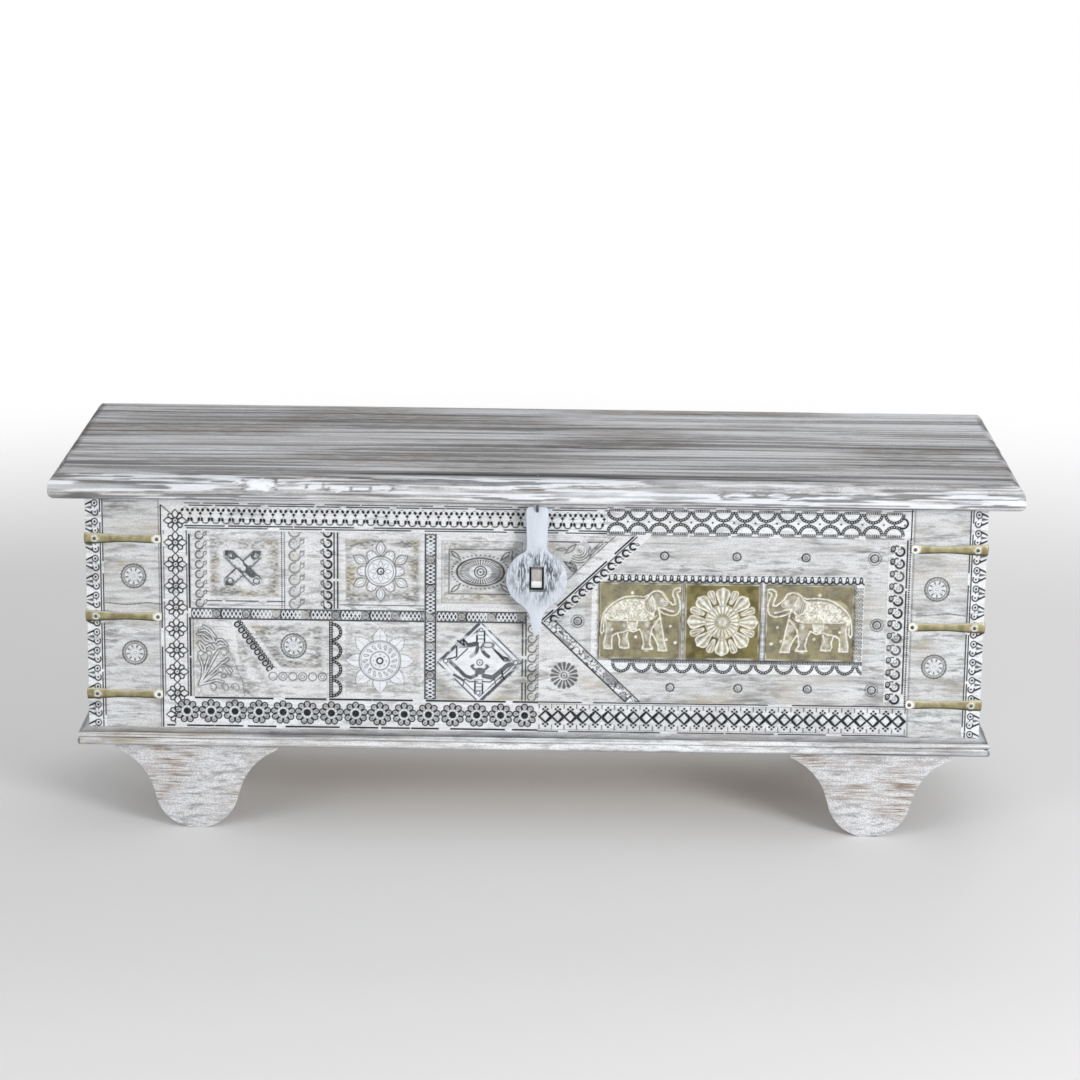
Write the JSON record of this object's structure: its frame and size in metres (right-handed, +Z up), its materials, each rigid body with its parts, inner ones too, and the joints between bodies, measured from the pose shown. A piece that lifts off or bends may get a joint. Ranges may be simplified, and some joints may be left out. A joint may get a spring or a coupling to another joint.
{
  "type": "carved storage trunk",
  "caption": "Long low whitewashed wooden trunk with a carved patchwork front, brass picture plates and corner straps, hinged moulded lid, hanging hasp with staple, and bracket feet.",
  "frame": {"origin": "on the floor, under the middle of the trunk's box", "axes": "+X to the right along the trunk's length as seen from its carved front, +Y from the front to the back, +Z up"},
  "size_m": [1.16, 0.4295, 0.45],
  "materials": {
    "whitewashed_wood": "brushed grain under worn white limewash",
    "carved_wood": "carved relief, limewashed, dark in the cuts",
    "aged_brass": "aged sheet with white wash on the raised work",
    "whitewashed_iron": "worn white wash over iron",
    "dark_iron": "dark and rubbed",
    "hinge_steel": "dull"
  },
  "bodies": {
    "chest": {"front_board": "whitewashed_wood", "left_end_boards": "whitewashed_wood", "right_end_boards": "whitewashed_wood", "back_boards": "whitewashed_wood", "bottom_boards": "whitewashed_wood", "corner_cleats": "whitewashed_wood", "front_plinth_rail": "whitewashed_wood", "left_plinth_rail": "whitewashed_wood", "right_plinth_rail": "whitewashed_wood", "back_plinth_rail": "whitewashed_wood", "front_left_foot": "whitewashed_wood", "front_right_foot": "whitewashed_wood", "back_left_foot": "whitewashed_wood", "back_right_foot": "whitewashed_wood", "left_corner_strip": "carved_wood", "right_corner_strip": "carved_wood", "left_stile": "carved_wood", "right_stile": "carved_wood", "top_star_border": "carved_wood", "top_arch_border": "carved_wood", "left_quatrefoil_border": "carved_wood", "right_bell_border": "carved_wood", "bottom_daisy_border": "carved_wood", "bottom_diamond_border": "carved_wood", "cross_tile": "carved_wood", "bell_strip": "carved_wood", "flower_tile": "carved_wood", "left_divider": "carved_wood", "spray_tile": "carved_wood", "sun_tile": "carved_wood", "upright_divider": "carved_wood", "oval_tile": "carved_wood", "right_divider": "carved_wood", "diamond_tile": "carved_wood", "spandrel_tile": "carved_wood", "daisy_tile": "carved_wood", "upper_chevron_strip": "carved_wood", "lower_chevron_strip": "carved_wood", "field_panel": "carved_wood", "elephant_frame": "carved_wood", "left_elephant_plate": "aged_brass", "flower_plate": "aged_brass", "right_elephant_plate": "aged_brass", "corner_straps": "aged_brass", "hasp_staple": "whitewashed_iron", "iron_cross": "dark_iron", "panel_studs": "dark_iron", "strap_nails": "dark_iron", "body_hinge_leaves": "hinge_steel", "hinge_pins": "hinge_steel", "body_hinge_screws": "hinge_steel"},
    "lid": {"lid_front_board": "whitewashed_wood", "lid_middle_board": "whitewashed_wood", "lid_back_board": "whitewashed_wood", "lid_battens": "whitewashed_wood", "hasp_ring": "whitewashed_iron", "lid_hinge_leaves": "hinge_steel", "lid_hinge_screws": "hinge_steel"},
    "hasp": {"hasp_plate": "whitewashed_iron"}
  },
  "joints": [
    {"name": "lid_hinge", "type": "hinge", "parent": "chest", "child": "lid", "pos_m": [0, 0.21025, 0.419], "axis": [-1, 0, 0], "range_deg": [0, 100]},
    {"name": "hasp_swing", "type": "hinge", "parent": "lid", "child": "hasp", "pos_m": [0.0015, -0.1965, 0.4145], "axis": [-1, 0, 0], "range_deg": [-7, 100]}
  ]
}
